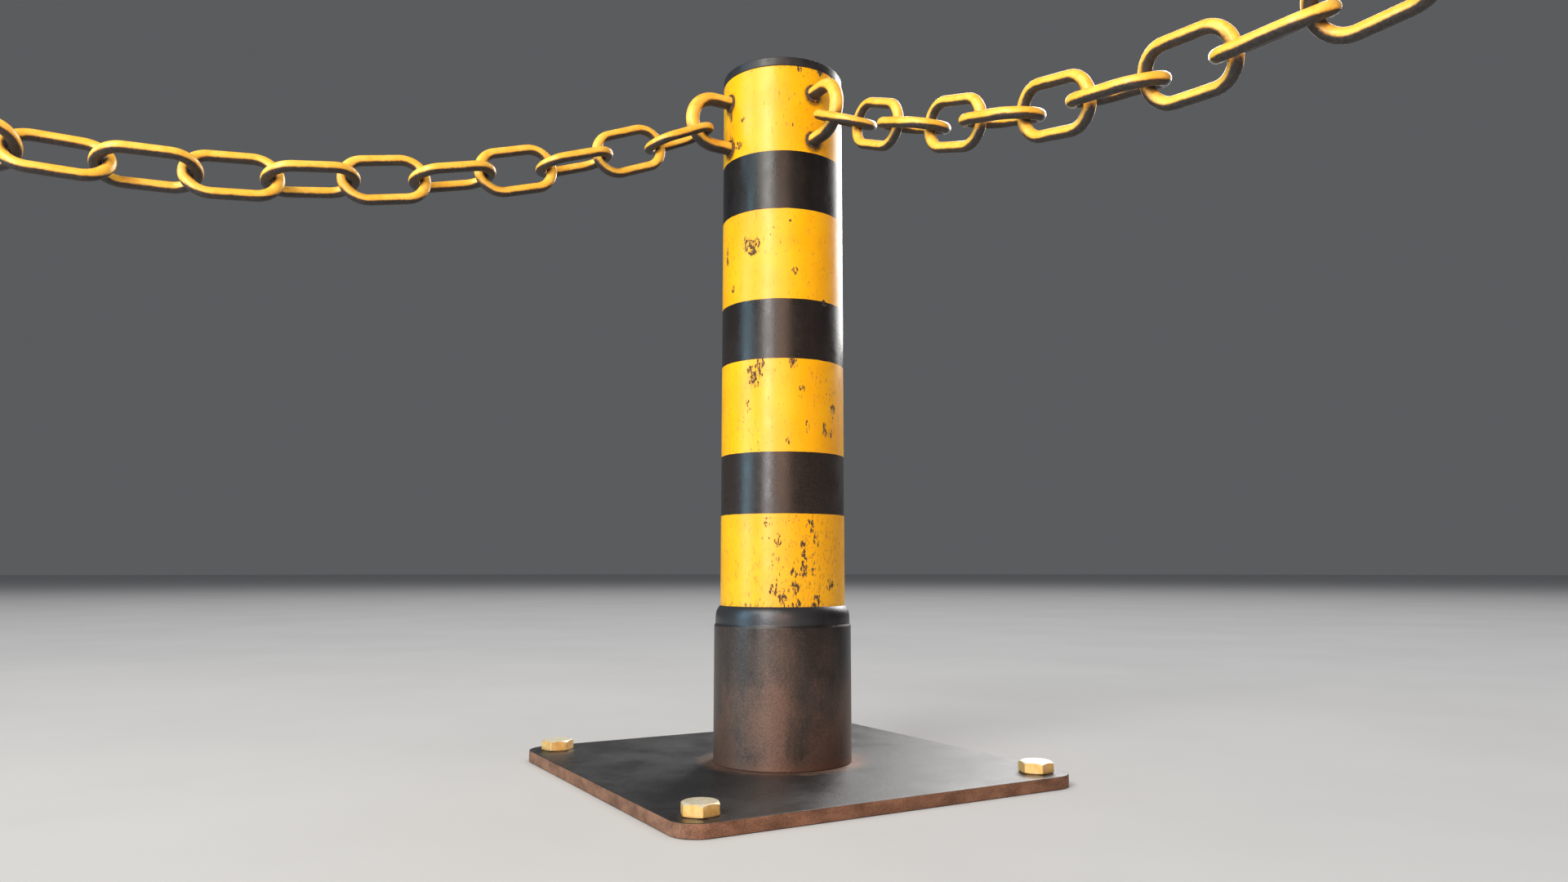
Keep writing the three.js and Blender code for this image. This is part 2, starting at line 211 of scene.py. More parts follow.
# ---------- shader helper ----------
class Shader:
    """A material's nodes, written as short calls that hand sockets on."""

    def __init__(self, name):
        self.material = bpy.data.materials.new(name)
        self.material.use_nodes = True
        self.tree = self.material.node_tree
        self.bsdf = self.tree.nodes["Principled BSDF"]
        coordinates = self.tree.nodes.new("ShaderNodeTexCoord")
        self.place = coordinates.outputs["Object"]
        self.normal = coordinates.outputs["Normal"]

    def put(self, value, socket):
        """Links a socket, or sets a plain value; colours are given without their alpha."""
        if isinstance(value, bpy.types.NodeSocket):
            self.tree.links.new(value, socket)
        elif isinstance(value, (tuple, Vector)) and len(value) == 3 and socket.type == "RGBA":
            socket.default_value = (*value, 1)
        else:
            socket.default_value = value

    def node(self, kind, values, output=0, **settings):
        """Adds a node; values are keyed by input, and settings are the node's own properties."""
        node = self.tree.nodes.new(kind)
        for key, setting in settings.items():
            setattr(node, key, setting)
        for key, value in values.items():
            self.put(value, node.inputs[key])
        return node.outputs[output]

    def math(self, operation, *values):
        return self.node("ShaderNodeMath", dict(enumerate(values)), operation=operation)

    def vector(self, operation, *values, output=0):
        return self.node("ShaderNodeVectorMath", dict(enumerate(values)), output, operation=operation)

    def weigh(self, first, share, second, second_share):
        """The weighted sum of two values."""
        first = self.math("MULTIPLY", first, share)
        return self.math("ADD", first, self.math("MULTIPLY", second, second_share))

    def axis(self, vector, name):
        return self.node("ShaderNodeSeparateXYZ", {0: vector}, name)

    def radius(self):
        """Distance from the post axis."""
        return self.vector("LENGTH", self.vector("MULTIPLY", self.place, (1, 1, 0)), output=1)

    def noise(self, size, detail=4, roughness=0.55, stretch=(1, 1, 1), shift=0.0):
        """Noise from 0 to 1 whose blotches are about size metres across."""
        scale = Vector(stretch) / size
        at = self.vector("MULTIPLY", self.place, scale)
        at = self.vector("ADD", at, (shift, shift, shift))
        values = {"Vector": at, "Scale": 1.0, "Detail": detail, "Roughness": roughness}
        return self.node("ShaderNodeTexNoise", values)

    def ramp(self, value, low, high, out_low=0.0, out_high=1.0):
        """Smooth step from out_low to out_high as value goes from low to high."""
        values = {"Value": value, "From Min": low, "From Max": high}
        values.update({"To Min": out_low, "To Max": out_high})
        return self.node("ShaderNodeMapRange", values, interpolation_type="SMOOTHSTEP")

    def mix(self, factor, first, second):
        """From the first colour to the second; 6, 7 and output 2 are the Mix node's colour sockets."""
        return self.node("ShaderNodeMix", {0: factor, 6: first, 7: second}, 2, data_type="RGBA")

    def blend(self, factor, first, second):
        """From the first number to the second."""
        return self.node("ShaderNodeMix", {0: factor, 2: first, 3: second}, 0, data_type="FLOAT")

    def near(self, centre, size):
        """1 at a centre, falling to 0 at an ellipsoid of the given half sizes."""
        offset = self.vector("SUBTRACT", self.place, tuple(centre))
        offset = self.vector("DIVIDE", offset, size)
        return self.ramp(self.vector("LENGTH", offset, output=1), 0.0, 1.0, 1.0, 0.0)

    def specks(self, spacing, radius, share, stretch=(1, 1, 1)):
        """1 inside ragged dots, one in some of the cells that are spacing metres apart."""
        values = {"Vector": self.place, "Scale": 0.9 / spacing, "Detail": 6.0}
        bend = self.vector("SUBTRACT", self.node("ShaderNodeTexNoise", values, 1), (0.5, 0.5, 0.5))
        bend = self.vector("MULTIPLY", bend, (0.7 * spacing,) * 3)
        at = self.vector("MULTIPLY", self.vector("ADD", self.place, bend), Vector(stretch) / spacing)
        cells = self.tree.nodes.new("ShaderNodeTexVoronoi")
        self.put(at, cells.inputs["Vector"])
        self.put(1.0, cells.inputs["Scale"])
        luck = self.axis(cells.outputs["Color"], "X")
        size = self.ramp(luck, 1 - share, 1.0, 0.0, radius / spacing)
        return self.math("LESS_THAN", cells.outputs["Distance"], size)

    def most(self, values):
        """The largest of several values."""
        top = values[0]
        for value in values[1:]:
            top = self.math("MAXIMUM", top, value)
        return top

    def done(self, color, roughness, metallic, *bumps, **constants):
        """bumps are (height socket, depth in metres), the coarsest first."""
        self.put(color, self.bsdf.inputs["Base Color"])
        self.put(roughness, self.bsdf.inputs["Roughness"])
        self.put(metallic, self.bsdf.inputs["Metallic"])
        for name, value in constants.items():
            self.bsdf.inputs[name.replace("_", " ")].default_value = value
        normal = None
        for height, depth in bumps:
            values = {"Height": height, "Distance": depth}
            if normal is not None:
                values["Normal"] = normal
            normal = self.node("ShaderNodeBump", values)
        if normal is not None:
            self.put(normal, self.bsdf.inputs["Normal"])
        return self.material


# ---------- materials ----------
def post_material():
    """Yellow paint with black bands, chipped to rusty steel in clusters and streaks."""
    s = Shader("post_paint")
    z = s.axis(s.place, "Z")
    wobble = s.math("MULTIPLY", s.math("SUBTRACT", s.noise(9 * MM, 5), 0.5), 0.9 * MM)
    above = s.math("SUBTRACT", s.math("ADD", z, wobble), BAND_LOW)
    phase = s.math("FRACT", s.math("DIVIDE", above, BAND_PITCH))
    black = s.math("LESS_THAN", phase, BAND_HEIGHT / BAND_PITCH)

    tone = s.noise(60 * MM, 5)
    yellow = s.mix(s.ramp(tone, 0.3, 0.7), (0.91, 0.405, 0.001), (0.98, 0.490, 0.002))
    streaks = s.ramp(s.noise(8 * MM, 5, 0.65, stretch=(1, 1, 0.35), shift=3.0), 0.54, 0.80, 0, 0.5)
    yellow = s.mix(streaks, yellow, (0.74, 0.30, 0.012))
    dull = s.noise(30 * MM, 6, 0.62, stretch=(1, 1, 0.5), shift=7.0)
    leather = s.noise(1.9 * MM, 5, 0.65, shift=14.0)
    dark = s.mix(s.ramp(dull, 0.35, 0.7), (0.006, 0.0055, 0.006), (0.016, 0.013, 0.012))
    lowness = s.ramp(z, BAND_LOW + BAND_HEIGHT + 2 * BAND_PITCH, BAND_LOW)
    brownish = s.mix(s.ramp(leather, 0.4, 0.65), (0.018, 0.012, 0.010), (0.034, 0.023, 0.018))
    dark = s.mix(lowness, dark, brownish)
    paint = s.mix(black, yellow, dark)

    # Worn spots: bearing in degrees, height in metres, half width and half height in millimetres
    # before the spread. The noise below breaks them up and scatters the rest.
    spread = 1.5 * MM
    spots = (
        (-59, 0.743, 4, 8), (-58, 0.711, 5, 9), (-46, 0.703, 6, 5), (-40, 0.732, 3, 3),
        (16, 0.787, 3, 5), (38, 0.787, 4, 5), (54, 0.784, 4, 6), (-64, 0.578, 3, 11), (-53, 0.537, 3, 5),
        (-35, 0.583, 5, 9), (-29, 0.582, 7, 7), (-24, 0.583, 4, 7), (-28, 0.574, 7, 4), (-36, 0.590, 3, 4),
        (11, 0.551, 4, 5), (41, 0.518, 4, 4), (-26, 0.434, 9, 14), (-20, 0.448, 5, 7), (-31, 0.440, 4, 5),
        (-33, 0.401, 4, 8), (10, 0.447, 5, 7), (18, 0.419, 4, 4), (23, 0.377, 3, 7), (41, 0.375, 4, 9),
        (49, 0.372, 5, 6), (53, 0.395, 4, 11), (5, 0.360, 3, 4), (19, 0.240, 4, 17), (20, 0.222, 5, 7),
        (26, 0.270, 6, 8), (32, 0.254, 4, 10), (29, 0.220, 4, 5), (10, 0.219, 5, 5), (-8, 0.201, 6, 8),
        (0, 0.193, 5, 7), (-13, 0.273, 5, 6), (-4, 0.253, 4, 7), (12, 0.203, 5, 7), (12, 0.187, 5, 6),
        (31, 0.189, 6, 6), (48, 0.205, 6, 8),
    )
    marks = []
    for turn, height, wide, high in spots:
        centre = bearing(turn) * POST_R + UP * height
        marks.append(s.near(centre, (wide * spread, wide * spread, high * spread)))
    marked = s.ramp(s.most(marks), 0.0, 0.6)

    patchy = s.ramp(s.noise(52 * MM, 2, stretch=(1, 1, 0.7), shift=11.0), 0.50, 0.72)
    lower = s.ramp(z, 0.32, sleeve_hi.z, 0.0, 0.45)
    edge = s.ramp(z, sleeve_hi.z + 8 * MM, sleeve_hi.z, 0.0, 1.0)
    rim = s.ramp(z, tube_hi.z - 7 * MM, tube_hi.z, 0.0, 0.6)
    scoured = s.near(bearing(24) * POST_R + UP * 0.225, (72 * MM, 72 * MM, 62 * MM))
    scoured = s.ramp(scoured, 0.0, 0.5, 0.0, 0.60)
    exposed = s.most([s.math("MULTIPLY", patchy, 0.55), lower, edge, rim, scoured])
    marked_wear = s.math("MULTIPLY", marked, s.ramp(z, 0.30, 0.50, 0.090, 0.200))
    wear = s.math("ADD", marked_wear, s.math("MULTIPLY", exposed, 0.085))
    coarse = s.noise(2.3 * MM, 3, 0.5, stretch=(1, 1, 0.4), shift=5.0)
    fine = s.noise(0.9 * MM, 4, 0.65, stretch=(1, 1, 0.5), shift=12.0)
    grain = s.weigh(coarse, 0.62, fine, 0.38)
    swing = s.math("ADD", 1.0, s.math("MULTIPLY", marked, 0.9))
    grain = s.math("ADD", 0.5, s.math("MULTIPLY", s.math("SUBTRACT", grain, 0.5), swing))
    level = s.math("ADD", grain, wear)
    pits = s.specks(9 * MM, 1.15 * MM, 0.30, (1, 1, 0.7))
    pits = s.math("MULTIPLY", pits, s.ramp(s.math("ADD", exposed, marked), 0.02, 0.25, 0.35, 1.0))
    chips = s.math("MAXIMUM", s.ramp(level, 0.650, 0.715), s.ramp(pits, 0.3, 0.5))
    stain = s.ramp(level, 0.575, 0.670, 0.0, 0.9)

    rust_tone = s.noise(2.0 * MM, 5, 0.65, shift=2.0)
    bare = s.mix(s.ramp(rust_tone, 0.42, 0.60), (0.032, 0.022, 0.011), (0.140, 0.082, 0.034))
    rusty = s.mix(s.ramp(rust_tone, 0.4, 0.6), (0.38, 0.16, 0.022), (0.58, 0.30, 0.035))
    color = s.mix(s.math("MULTIPLY", stain, s.math("SUBTRACT", 1.0, black)), paint, rusty)
    chips = s.math("MULTIPLY", chips, s.blend(black, 1.0, 0.25))
    color = s.mix(chips, color, bare)

    # Dirt round the eyes' feet, with painted shade where the legs meet the tube.
    feet = []
    for out in SIDES.values():
        for foot in (EYE_MID - EYE_BEND, EYE_MID + EYE_BEND):
            feet.append(s.near(out * POST_R + UP * (foot - 2 * MM), (19 * MM, 19 * MM, 21 * MM)))
    clumps = s.ramp(s.noise(5 * MM, 5, 0.65, shift=9.0), 0.25, 0.6, 0.45, 1)
    dirt_and_shade = s.math("MULTIPLY", s.ramp(s.most(feet), 0.16, 0.60), clumps)
    color = s.mix(s.math("MULTIPLY", dirt_and_shade, 0.9), color, (0.045, 0.024, 0.012))

    smudge = s.noise(22 * MM, 5, shift=4.0)
    satin = s.blend(black, s.ramp(smudge, 0.3, 0.7, 0.30, 0.40), s.ramp(smudge, 0.3, 0.7, 0.24, 0.34))
    rough = s.blend(chips, satin, 0.85)
    sunk = s.math("SUBTRACT", 1.0, chips)
    ridge = s.math("MULTIPLY", black, 0.4)
    peel = s.math("MULTIPLY", leather, s.blend(black, 0.3, 1.0))
    return s.done(color, rough, 0.0, (s.math("ADD", sunk, ridge), 0.25 * MM), (peel, 0.14 * MM),
                  Specular_IOR_Level=0.48)


def cap_material():
    """Satin black paint, scuffed along its edge."""
    s = Shader("cap_paint")
    tone = s.ramp(s.noise(25 * MM, 6), 0.3, 0.7)
    color = s.mix(tone, (0.012, 0.012, 0.014), (0.026, 0.025, 0.026))
    radius = s.radius()
    z = s.axis(s.place, "Z")
    high = s.ramp(z, cap_hi.z - 5 * MM, cap_hi.z)
    outer = s.math("MULTIPLY", s.ramp(radius, POST_R - 3 * MM, POST_R), high)
    scuff = s.ramp(s.math("ADD", s.noise(5 * MM, 5, 0.65), s.math("MULTIPLY", outer, 0.12)), 0.72, 0.80)
    color = s.mix(scuff, color, (0.16, 0.13, 0.115))
    rough = s.blend(scuff, s.ramp(s.noise(14 * MM, 5, shift=3.0), 0.3, 0.7, 0.32, 0.50), 0.7)
    rough = s.blend(s.ramp(radius, POST_R - 3 * MM, POST_R - 8 * MM), rough, 0.80)
    return s.done(color, rough, 0.0, (s.noise(2.5 * MM, 3), 0.05 * MM))


def sleeve_material():
    """Dark worn steel going brown with rust, more of it lower down; the shoulder is darker and glossier."""
    s = Shader("sleeve_paint")
    z = s.axis(s.place, "Z")
    low = s.ramp(z, sleeve_hi.z - SHOULDER, plate_hi.z)
    shoulder = s.ramp(z, sleeve_hi.z - SHOULDER - 1 * MM, sleeve_hi.z - SHOULDER + 4 * MM)
    cloud = s.noise(42 * MM, 6, 0.6, stretch=(1, 1, 0.5))
    speck = s.noise(2.6 * MM, 6, 0.85, shift=6.0)
    rust = s.weigh(cloud, 0.78, speck, 0.22)
    rust = s.math("ADD", rust, s.math("MULTIPLY", low, 0.20))
    rust = s.math("SUBTRACT", rust, s.math("MULTIPLY", shoulder, 0.30))
    color = s.mix(s.ramp(rust, 0.34, 0.56), (0.026, 0.023, 0.022), (0.072, 0.054, 0.046))
    color = s.mix(s.ramp(rust, 0.54, 0.72, 0.0, 0.9), color, (0.156, 0.093, 0.069))
    color = s.mix(s.ramp(speck, 0.34, 0.52, 0.45, 0.0), color, (0.024, 0.019, 0.017))
    color = s.mix(s.ramp(speck, 0.54, 0.70, 0.0, 0.45), color, (0.21, 0.165, 0.145))
    color = s.mix(s.math("MULTIPLY", shoulder, 0.75), color, (0.060, 0.064, 0.072))
    foot = s.ramp(z, plate_hi.z + 16 * MM, plate_hi.z, 0.0, 0.7)
    color = s.mix(foot, color, (0.16, 0.090, 0.062))
    # Painted shade: a dark patch on the side to the right of the front, away from the key light.
    painted_side_shade = s.near(bearing(50) * sleeve_hi.x + UP * 0.14, (66 * MM, 66 * MM, 62 * MM))
    painted_side_shade = s.math("MULTIPLY", s.ramp(painted_side_shade, 0.0, 0.5), s.ramp(cloud, 0.30, 0.55, 0.85, 0.45))
    color = s.mix(painted_side_shade, color, (0.012, 0.009, 0.007))
    worn = s.ramp(rust, 0.40, 0.72, 0.34, 0.46)
    rough = s.blend(shoulder, worn, 0.31)
    leather = s.noise(2.4 * MM, 5, 0.65, shift=1.0)
    return s.done(color, rough, 0.55, (leather, 0.22 * MM), (s.noise(0.9 * MM, 2), 0.06 * MM))


def plate_material():
    """Charcoal mill-finish steel with a fine grain, rust creeping out from the sleeve, bolts and edges."""
    s = Shader("plate_steel")
    radius = s.radius()
    cloud = s.noise(60 * MM, 6, 0.6)
    fine = s.noise(1.5 * MM, 3, 0.7, shift=4.0)
    base = s.mix(s.ramp(cloud, 0.32, 0.68), (0.017, 0.017, 0.019), (0.040, 0.040, 0.041))
    base = s.mix(s.ramp(fine, 0.50, 0.72, 0.0, 0.7), base, (0.13, 0.125, 0.12))
    foot = s.ramp(radius, sleeve_hi.x + 38 * MM, sleeve_hi.x + 1 * MM)
    halos = [foot]
    for bolt in BOLTS:
        centre = node_centre(bolt)
        centre.z = plate_hi.z
        halos.append(s.near(centre, (38 * MM, 38 * MM, 38 * MM)))
    halo = s.most(halos)
    side = s.ramp(s.math("ABSOLUTE", s.axis(s.normal, "Z")), 0.9, 0.4)
    rough_edge = s.noise(14 * MM, 6, 0.62, shift=8.0)
    rust = s.ramp(s.weigh(halo, 0.46, rough_edge, 0.56), 0.44, 0.80, 0.0, 0.9)
    rusty = s.mix(s.ramp(fine, 0.35, 0.65), (0.12, 0.066, 0.047), (0.23, 0.135, 0.100))
    color = s.mix(rust, base, rusty)
    blotches = s.noise(26 * MM, 5, 0.6, stretch=(1, 1, 1.6), shift=2.0)
    flank_tone = s.weigh(blotches, 0.55, s.noise(1.8 * MM, 4, 0.7, shift=2.0), 0.45)
    flank = s.mix(s.ramp(flank_tone, 0.34, 0.66), (0.120, 0.054, 0.030), (0.35, 0.175, 0.105))
    color = s.mix(side, color, flank)
    rough = s.ramp(cloud, 0.3, 0.7, 0.36, 0.50)
    rough = s.blend(s.math("MAXIMUM", s.math("MULTIPLY", rust, 0.6), side), rough, 0.66)
    return s.done(color, rough, 0.35, (s.noise(26 * MM, 3, shift=5.0), 0.03 * MM), (fine, 0.30 * MM))


def zinc_material():
    """Yellow zinc on the bolts: gold flanks, a painted highlight on top and painted shade at the foot."""
    s = Shader("bolt_zinc")
    # Painted highlight: faces turned upwards are painted paler.
    top = s.ramp(s.axis(s.normal, "Z"), 0.25, 0.85)
    cloud = s.noise(7 * MM, 5, 0.6)
    gold = s.mix(s.ramp(cloud, 0.35, 0.65), (0.80, 0.46, 0.12), (0.90, 0.60, 0.24))
    pale = s.mix(s.ramp(cloud, 0.3, 0.7), (0.76, 0.68, 0.48), (0.86, 0.80, 0.64))
    color = s.mix(top, gold, pale)
    nicks = s.ramp(s.noise(1.8 * MM, 5, 0.7, shift=3.0), 0.66, 0.74, 0.0, 0.6)
    color = s.mix(nicks, color, (0.16, 0.09, 0.045))
    # Painted shade: darker brown towards the plate, where the head meets it.
    low = s.ramp(s.axis(s.place, "Z"), plate_hi.z + 2.2 * MM, plate_hi.z, 0.0, 0.8)
    color = s.mix(low, color, (0.20, 0.11, 0.05))
    rough = s.ramp(s.noise(4 * MM, 4, shift=1.0), 0.3, 0.7, 0.36, 0.52)
    return s.done(color, rough, 0.45, (s.noise(1.2 * MM, 4), 0.035 * MM))


def chain_material():
    """Yellow-orange paint, rubbed to steel where bars bear on each other, with painted shade underneath."""
    s = Shader("chain_paint")
    contact = s.node("ShaderNodeAttribute", {}, "Fac", attribute_name="contact")
    cloud = s.noise(24 * MM, 5)
    paint = s.mix(s.ramp(cloud, 0.3, 0.7), (0.92, 0.49, 0.050), (0.98, 0.61, 0.100))
    warm = s.ramp(s.noise(7 * MM, 5, 0.6, shift=4.0), 0.46, 0.72, 0.0, 0.55)
    paint = s.mix(warm, paint, (0.80, 0.36, 0.020))
    coarse = s.noise(15 * MM, 4, 0.55, shift=8.0)
    fine = s.noise(2.4 * MM, 4, 0.65, shift=5.0)
    grain = s.math("SUBTRACT", s.weigh(coarse, 0.6, fine, 0.4), 0.5)
    # Painted shade: the paint darkens to brown, then near black, where the surface faces down.
    underside_shade = s.math("ADD", s.axis(s.normal, "Z"), s.math("MULTIPLY", grain, 0.55))
    level = s.math("ADD", contact, s.math("MULTIPLY", grain, 0.9))
    pits = s.specks(9 * MM, 0.7 * MM, 0.22)
    # These two masks hold the wear where bars bear and also the painted shade underneath.
    worn = s.most([s.ramp(underside_shade, -0.29, -0.51), s.ramp(level, 0.30, 0.60), s.math("MULTIPLY", pits, 0.7)])
    stain = s.most([s.ramp(underside_shade, -0.12, -0.46, 0.0, 0.9), s.ramp(level, 0.10, 0.40, 0.0, 0.9)])
    metal_tone = s.ramp(s.noise(2.2 * MM, 4, shift=1.0), 0.4, 0.62)
    # Dark bare steel where rubbed, also used as the near-black painted shade underneath.
    steel_and_shade = s.mix(metal_tone, (0.014, 0.010, 0.008), (0.032, 0.024, 0.019))
    steel_and_shade = s.mix(s.math("MULTIPLY", contact, 0.6), steel_and_shade, (0.10, 0.085, 0.075))
    color = s.mix(stain, paint, (0.42, 0.17, 0.016))
    color = s.mix(worn, color, steel_and_shade)
    gloss = s.ramp(s.noise(11 * MM, 4, shift=6.0), 0.3, 0.7, 0.26, 0.38)
    rough = s.blend(worn, gloss, s.blend(contact, 0.60, 0.42))
    return s.done(color, rough, 0.0, (s.noise(1.6 * MM, 3), 0.04 * MM))


def weld_material():
    """Rust and dirt on the weld beads, with a little of the yellow left on the crests."""
    s = Shader("weld_paint")
    rust_tone = s.ramp(s.noise(2.5 * MM, 5, 0.65), 0.38, 0.62)
    rust = s.mix(rust_tone, (0.022, 0.012, 0.007), (0.105, 0.050, 0.020))
    crest = s.ramp(s.axis(s.normal, "Z"), 0.0, 1.0, 0.0, 0.12)
    left = s.ramp(s.math("ADD", s.noise(6 * MM, 5, 0.6, shift=3.0), crest), 0.58, 0.70)
    color = s.mix(left, rust, (0.62, 0.27, 0.015))
    return s.done(color, s.blend(left, 0.72, 0.42), 0.0, (s.noise(1.5 * MM, 4), 0.08 * MM))


# ---------- meshes ----------
def circle(sides, turn=0.0):
    """(cosine, sine) pairs at even steps round a circle, turned by a part of a step."""
    angles = [2 * math.pi * (i + turn) / sides for i in range(sides)]
    return [(math.cos(a), math.sin(a)) for a in angles]


def quarter(steps):
    """(cosine, sine) pairs over a quarter turn, both ends included."""
    angles = [math.pi / 2 * k / steps for k in range(steps + 1)]
    return [(math.cos(a), math.sin(a)) for a in angles]


def skin(name, rings, closed=False):
    """A mesh through rings of points; an open one is closed by a face at each end."""
    around = len(rings[0])
    points = [tuple(p) for ring in rings for p in ring]
    faces = []
    for k in range(len(rings) if closed else len(rings) - 1):
        a, b = k * around, (k + 1) % len(rings) * around
        for i in range(around):
            j = (i + 1) % around
            faces.append((a + i, a + j, b + j, b + i))
    if not closed:
        faces.append(tuple(range(around)))
        faces.append(tuple(range(len(points) - around, len(points))))
    mesh = bpy.data.meshes.new(name)
    mesh.from_pydata(points, [], faces)
    work = bmesh.new()
    work.from_mesh(mesh)
    bmesh.ops.recalc_face_normals(work, faces=work.faces)
    work.to_mesh(mesh)
    work.free()
    made = bpy.data.objects.new(name, mesh)
    bpy.context.scene.collection.objects.link(made)
    return made


def fillet(points, radii, steps=5):
    """The closed outline through 2-D points with each corner rounded to its radius."""
    outline = []
    count = len(points)
    for i, radius in enumerate(radii):
        corner = Vector(points[i])
        before = (Vector(points[i - 1]) - corner).normalized()
        after = (Vector(points[(i + 1) % count]) - corner).normalized()
        half = before.angle(after) / 2
        reach = radius / math.tan(half)
        start, end = corner + before * reach, corner + after * reach
        centre = corner + (before + after).normalized() * (radius / math.sin(half))
        first, last = start - centre, end - centre
        sweep = math.pi - 2 * half
        for k in range(steps + 1):
            t = k / steps
            arm = first * math.sin((1 - t) * sweep) + last * math.sin(t * sweep)
            outline.append(centre + arm.normalized() * radius)
    return outline


def turned(name, profile, closed=True, segments=ROUND, centre=(0, 0)):
    """A solid of revolution about the vertical through centre, from (radius, height) points."""
    rings = []
    for radius, height in profile:
        rings.append([(centre[0] + radius * x, centre[1] + radius * y, height) for x, y in circle(segments)])
    return skin(name, rings, closed)


def boolean(target, operation, *cutters):
    """Applies boolean operations in turn and removes the cutters."""
    for cutter in cutters:
        modifier = target.modifiers.new(operation, "BOOLEAN")
        modifier.operation = operation
        modifier.solver = "EXACT"
        modifier.object = cutter
        graph = bpy.context.evaluated_depsgraph_get()
        mesh = bpy.data.meshes.new_from_object(target.evaluated_get(graph))
        target.modifiers.clear()
        target.data = mesh
        bpy.data.objects.remove(cutter)


def bar(name, path, side, weights, radius=WIRE / 2, sides=BAR_SIDES, closed=True, ends=0.0):
    """A round bar along a flat path of (point, tangent) pairs; side is the normal of the path's plane.

    weights(index, outward) gives the contact attribute, with outward from -1 on the inside of a
    bend to 1 on its outside. ends rounds the tips of an open bar by that radius.
    """
    rings, contact = [], []
    stations = [(p, t, radius, k) for k, (p, t) in enumerate(path)]
    if ends:
        first, last = stations[0], stations[-1]
        head, tail = [], []
        for x, y in quarter(4)[1:]:
            shrunk = radius - ends * (1 - x)
            head.insert(0, (first[0] - first[1] * ends * y, first[1], shrunk, 0))
            tail.append((last[0] + last[1] * ends * y, last[1], shrunk, len(path) - 1))
        stations = head + stations + tail
    for point, tangent, size, k in stations:
        outward = side.cross(tangent).normalized()
        ring = []
        for x, y in circle(sides):
            ring.append(point + (outward * x + side * y) * size)
            contact.append(weights(k, x))
        rings.append(ring)
    made = skin(name, rings, closed)
    attribute = made.data.attributes.new("contact", "FLOAT", "POINT")
    attribute.data.foreach_set("value", contact)
    return made


def arc(centre, x_axis, y_axis, radius, start, end, steps):
    """(point, tangent) pairs along an arc in the plane of two axes."""
    way = 1 if end > start else -1
    pairs = []
    for k in range(steps + 1):
        a = start + (end - start) * k / steps
        point = centre + (x_axis * math.cos(a) + y_axis * math.sin(a)) * radius
        pairs.append((point, (y_axis * math.cos(a) - x_axis * math.sin(a)) * way))
    return pairs


def run(start, end, steps):
    """(point, tangent) pairs along a straight run, ends left out."""
    tangent = (end - start).normalized()
    return [(start.lerp(end, k / steps), tangent) for k in range(1, steps)]


def rub(distance, reach, outward):
    """How worn the inside of a bend is at a distance from the point that bears; 0 beyond reach."""
    return max(0.0, 1 - distance / reach) ** 0.7 * max(0.0, -outward) ** 0.8


def dress(piece, node, body, material, soften=35):
    """Shades a finished piece, gives it its material, ties it to its body and hides its CAD node."""
    mesh = piece.data
    mesh.materials.clear()
    mesh.materials.append(material)
    mesh.polygons.foreach_set("use_smooth", [True] * len(mesh.polygons))
    mesh.set_sharp_from_angle(angle=math.radians(soften))
    weighted = piece.modifiers.new("even_normals", "WEIGHTED_NORMAL")
    weighted.keep_sharp = True
    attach(piece, body)
    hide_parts(node)


# ---------- post, cap, sleeve and plate ----------
def hole_ring(centre, out):
    """An eye leg's hole, as a ring of points round the leg's direction."""
    across = out.cross(UP)
    radius = EYE_WIRE / 2 + GAP
    return [centre + (across * x + UP * y) * radius for x, y in circle(HOLE_SIDES, HOLE_TURN)]


def build_tube(material):
    inner = POST_R - TUBE_WALL
    corners = [(inner, tube_lo.z), (POST_R, tube_lo.z), (POST_R, tube_hi.z), (inner, tube_hi.z)]
    tube = turned("post_tube_fine", fillet(corners, [0.4 * MM, 0.4 * MM, 0.7 * MM, 0.4 * MM], 3))
    holes = []
    for out in SIDES.values():
        for z in (EYE_MID - EYE_BEND, EYE_MID + EYE_BEND):
            ends = [out * reach + UP * z for reach in (inner - 10 * MM, POST_R + 10 * MM)]
            holes.append(skin("hole", [hole_ring(end, out) for end in ends]))
    boolean(tube, "DIFFERENCE", *holes)
    dress(tube, "post_tube", ROOT, material)


def build_cap(material):
    inner = POST_R - TUBE_WALL - GAP
    skirt = inner - 5 * MM
    rim = tube_hi.z + GAP
    shoulder = cap_hi.z - CAP_DOME
    bevel = 0.5 * MM
    profile = [(skirt, rim), (skirt, cap_lo.z), (inner, cap_lo.z), (inner, rim)]
    profile += [(POST_R - bevel, rim), (POST_R, rim + bevel)]
    steps = 6
    profile += [(POST_R - CAP_EDGE * (1 - x), shoulder - CAP_EDGE * (1 - y)) for x, y in quarter(steps)]
    edge = POST_R - CAP_EDGE
    for k in range(1, steps + 1):
        radius = edge * (1 - k / (steps + 0.2))
        profile.append((radius, cap_hi.z - CAP_DOME * (radius / edge) ** 2))
    dress(turned("top_cap_fine", profile, closed=False), "top_cap", ROOT, material)


